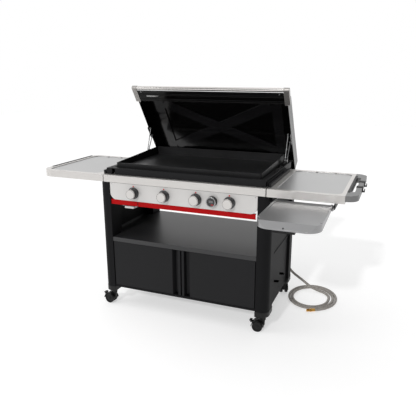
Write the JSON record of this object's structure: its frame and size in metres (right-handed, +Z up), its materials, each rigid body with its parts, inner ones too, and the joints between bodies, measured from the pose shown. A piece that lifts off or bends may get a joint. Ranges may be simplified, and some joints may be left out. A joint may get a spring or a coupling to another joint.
{
  "type": "outdoor gas griddle station",
  "caption": "Cabinet cart with a flat-top gas griddle under a hinged lid, side tables, pull-out tray, doors, grease drawer, casters and a coiled gas hose.",
  "frame": {"origin": "middle of the footprint on the ground, measured without the hose", "axes": "+X to the cook's right, +Y to the rear, +Z up"},
  "size_m": [2.027, 1.251, 1.428],
  "materials": {
    "black_steel": "semi-gloss black powder coat",
    "lid_black": "semi-gloss black enamel",
    "brushed_steel": "brushed, horizontal grain",
    "panel_grey": "satin light warm grey",
    "table_grey": "fine-textured light grey powder coat",
    "red_paint": "gloss red",
    "griddle_steel": "seasoned dark steel plate",
    "galvanised": "bare bright sheet",
    "brass": "machined",
    "gas_pipe": "drawn tube",
    "knob_grey": "satin light grey with dark ring",
    "black_plastic": "fine grain",
    "display_glass": "dark lens",
    "wheel_rubber": "smooth tread",
    "hose_grey": "braided cover"
  },
  "bodies": {
    "cart": {"bottom_rails": "black_steel", "burner_tubes": "galvanised", "cabinet_floor_and_back": "black_steel", "control_panel": "panel_grey", "cookbox": "black_steel", "door_catches": "black_plastic", "door_hinge_pins": "black_steel", "drawer_guides": "black_steel", "foot_caps": "black_plastic", "gas_hose_coil": "hose_grey", "gas_hose_run": "hose_grey", "gas_inlet_fitting": "brass", "gas_manifold": "brass", "gas_supply_pipe": "gas_pipe", "grease_chute": "galvanised", "hose_end_fitting": "brass", "knob_bezels": "black_plastic", "left_table_frame": "table_grey", "legs": "black_steel", "lid_hinge_brackets": "black_steel", "red_rail": "red_paint", "right_table_frame": "table_grey", "right_table_handle": "table_grey", "shelf": "black_steel", "side_panels": "black_steel", "table_end_strips": "black_plastic", "table_tops": "table_grey", "thermometer_face": "display_glass", "thermometer_housing": "black_plastic", "tool_hooks": "black_plastic", "tray_slide_rails": "black_steel", "upper_rail": "brushed_steel"},
    "griddle": {"griddle_plate": "griddle_steel"},
    "front_links": {"lid_front_links": "black_steel"},
    "rear_links": {"lid_rear_links": "black_steel"},
    "lid": {"lid_shell": "lid_black", "lid_inner_frame": "lid_black", "lid_handle_bar": "brushed_steel", "lid_handle_ends": "brushed_steel"},
    "left_door": {"left_door": "black_steel"},
    "right_door": {"right_door": "black_steel"},
    "drawer": {"drawer_front": "red_paint", "drawer_runners": "galvanised", "drip_pan": "galvanised"},
    "tray": {"pull_out_tray": "table_grey", "tray_grip": "black_plastic"},
    "knob_1": {"knob_1": "knob_grey"},
    "knob_2": {"knob_2": "knob_grey"},
    "knob_3": {"knob_3": "knob_grey"},
    "knob_4": {"knob_4": "knob_grey"},
    "front_left_caster": {"front_left_caster_fork": "black_plastic"},
    "front_left_wheels": {"front_left_wheels": "wheel_rubber"},
    "front_left_lever": {"front_left_brake_lever": "black_plastic"},
    "front_right_caster": {"front_right_caster_fork": "black_plastic"},
    "front_right_wheels": {"front_right_wheels": "wheel_rubber"},
    "front_right_lever": {"front_right_brake_lever": "black_plastic"},
    "rear_left_caster": {"rear_left_caster_fork": "black_plastic"},
    "rear_left_wheels": {"rear_left_wheels": "wheel_rubber"},
    "rear_right_caster": {"rear_right_caster_fork": "black_plastic"},
    "rear_right_wheels": {"rear_right_wheels": "wheel_rubber"}
  },
  "joints": [
    {"name": "lid_lift", "type": "hinge", "parent": "cart", "child": "front_links", "pos_m": [-0.0135, 0.31633, 0.966], "axis": [-1, 0, 0], "range_deg": [-107.75, 0]},
    {"name": "lid_tilt", "type": "hinge", "parent": "front_links", "child": "lid", "pos_m": [-0.0135, 0.3738, 1.12326], "axis": [1, 0, 0], "range_deg": [-49.43, 0]},
    {"name": "rear_link_swing", "type": "hinge", "parent": "cart", "child": "rear_links", "pos_m": [-0.0135, 0.34156, 0.96], "axis": [-1, 0, 0], "range_deg": [-114.87, 0]},
    {"name": "griddle_lift", "type": "slide", "parent": "cart", "child": "griddle", "axis": [0, 0, 1], "range_m": [0, 0.06]},
    {"name": "knob_1_turn", "type": "hinge", "parent": "cart", "child": "knob_1", "pos_m": [-0.3255, -0.22551, 0.8], "axis": [0, -1, 0], "range_deg": [0, 180]},
    {"name": "knob_2_turn", "type": "hinge", "parent": "cart", "child": "knob_2", "pos_m": [-0.1175, -0.22551, 0.8], "axis": [0, -1, 0], "range_deg": [0, 180]},
    {"name": "knob_3_turn", "type": "hinge", "parent": "cart", "child": "knob_3", "pos_m": [0.0905, -0.22551, 0.8], "axis": [0, -1, 0], "range_deg": [0, 180]},
    {"name": "knob_4_turn", "type": "hinge", "parent": "cart", "child": "knob_4", "pos_m": [0.2985, -0.22551, 0.8], "axis": [0, -1, 0], "range_deg": [0, 180]},
    {"name": "drawer_slide", "type": "slide", "parent": "cart", "child": "drawer", "axis": [0, -1, 0], "range_m": [0, 0.3]},
    {"name": "tray_slide", "type": "slide", "parent": "cart", "child": "tray", "axis": [0, 1, 0], "range_m": [0, 0.4]},
    {"name": "left_door_hinge", "type": "hinge", "parent": "cart", "child": "left_door", "pos_m": [-0.4805, -0.21351, 0.3], "axis": [0, 0, -1], "range_deg": [0, 100]},
    {"name": "right_door_hinge", "type": "hinge", "parent": "cart", "child": "right_door", "pos_m": [0.4535, -0.21351, 0.3], "axis": [0, 0, 1], "range_deg": [0, 100]},
    {"name": "front_left_swivel", "type": "hinge", "parent": "cart", "child": "front_left_caster", "pos_m": [-0.5335, -0.16851, 0.09], "axis": [0, 0, 1], "continuous": true},
    {"name": "front_left_roll", "type": "hinge", "parent": "front_left_caster", "child": "front_left_wheels", "pos_m": [-0.56742, -0.16614, 0.0325], "axis": [-0.0698, -0.9976, 0], "continuous": true},
    {"name": "front_left_brake", "type": "hinge", "parent": "front_left_caster", "child": "front_left_lever", "pos_m": [-0.60761, -0.16332, 0.05671], "axis": [-0.0698, -0.9976, 0], "range_deg": [0, 18]},
    {"name": "front_right_swivel", "type": "hinge", "parent": "cart", "child": "front_right_caster", "pos_m": [0.5065, -0.16851, 0.09], "axis": [0, 0, 1], "continuous": true},
    {"name": "front_right_roll", "type": "hinge", "parent": "front_right_caster", "child": "front_right_wheels", "pos_m": [0.47258, -0.17088, 0.0325], "axis": [0.0698, -0.9976, 0], "continuous": true},
    {"name": "front_right_brake", "type": "hinge", "parent": "front_right_caster", "child": "front_right_lever", "pos_m": [0.43239, -0.17369, 0.05671], "axis": [0.0698, -0.9976, 0], "range_deg": [0, 18]},
    {"name": "rear_left_swivel", "type": "hinge", "parent": "cart", "child": "rear_left_caster", "pos_m": [-0.5335, 0.38249, 0.09], "axis": [0, 0, 1], "continuous": true},
    {"name": "rear_left_roll", "type": "hinge", "parent": "rear_left_caster", "child": "rear_left_wheels", "pos_m": [-0.53705, 0.41631, 0.0325], "axis": [-0.9945, -0.1045, 0], "continuous": true},
    {"name": "rear_right_swivel", "type": "hinge", "parent": "cart", "child": "rear_right_caster", "pos_m": [0.5065, 0.38249, 0.09], "axis": [0, 0, 1], "range_deg": [-24, 155]},
    {"name": "rear_right_roll", "type": "hinge", "parent": "rear_right_caster", "child": "rear_right_wheels", "pos_m": [0.49376, 0.41402, 0.0325], "axis": [-0.9272, -0.3746, 0], "continuous": true}
  ],
  "couplings": [
    {"joint": "lid_tilt", "follows": "lid_lift", "ratio": 0.45847},
    {"joint": "rear_link_swing", "follows": "lid_lift", "ratio": 1.0659}
  ]
}
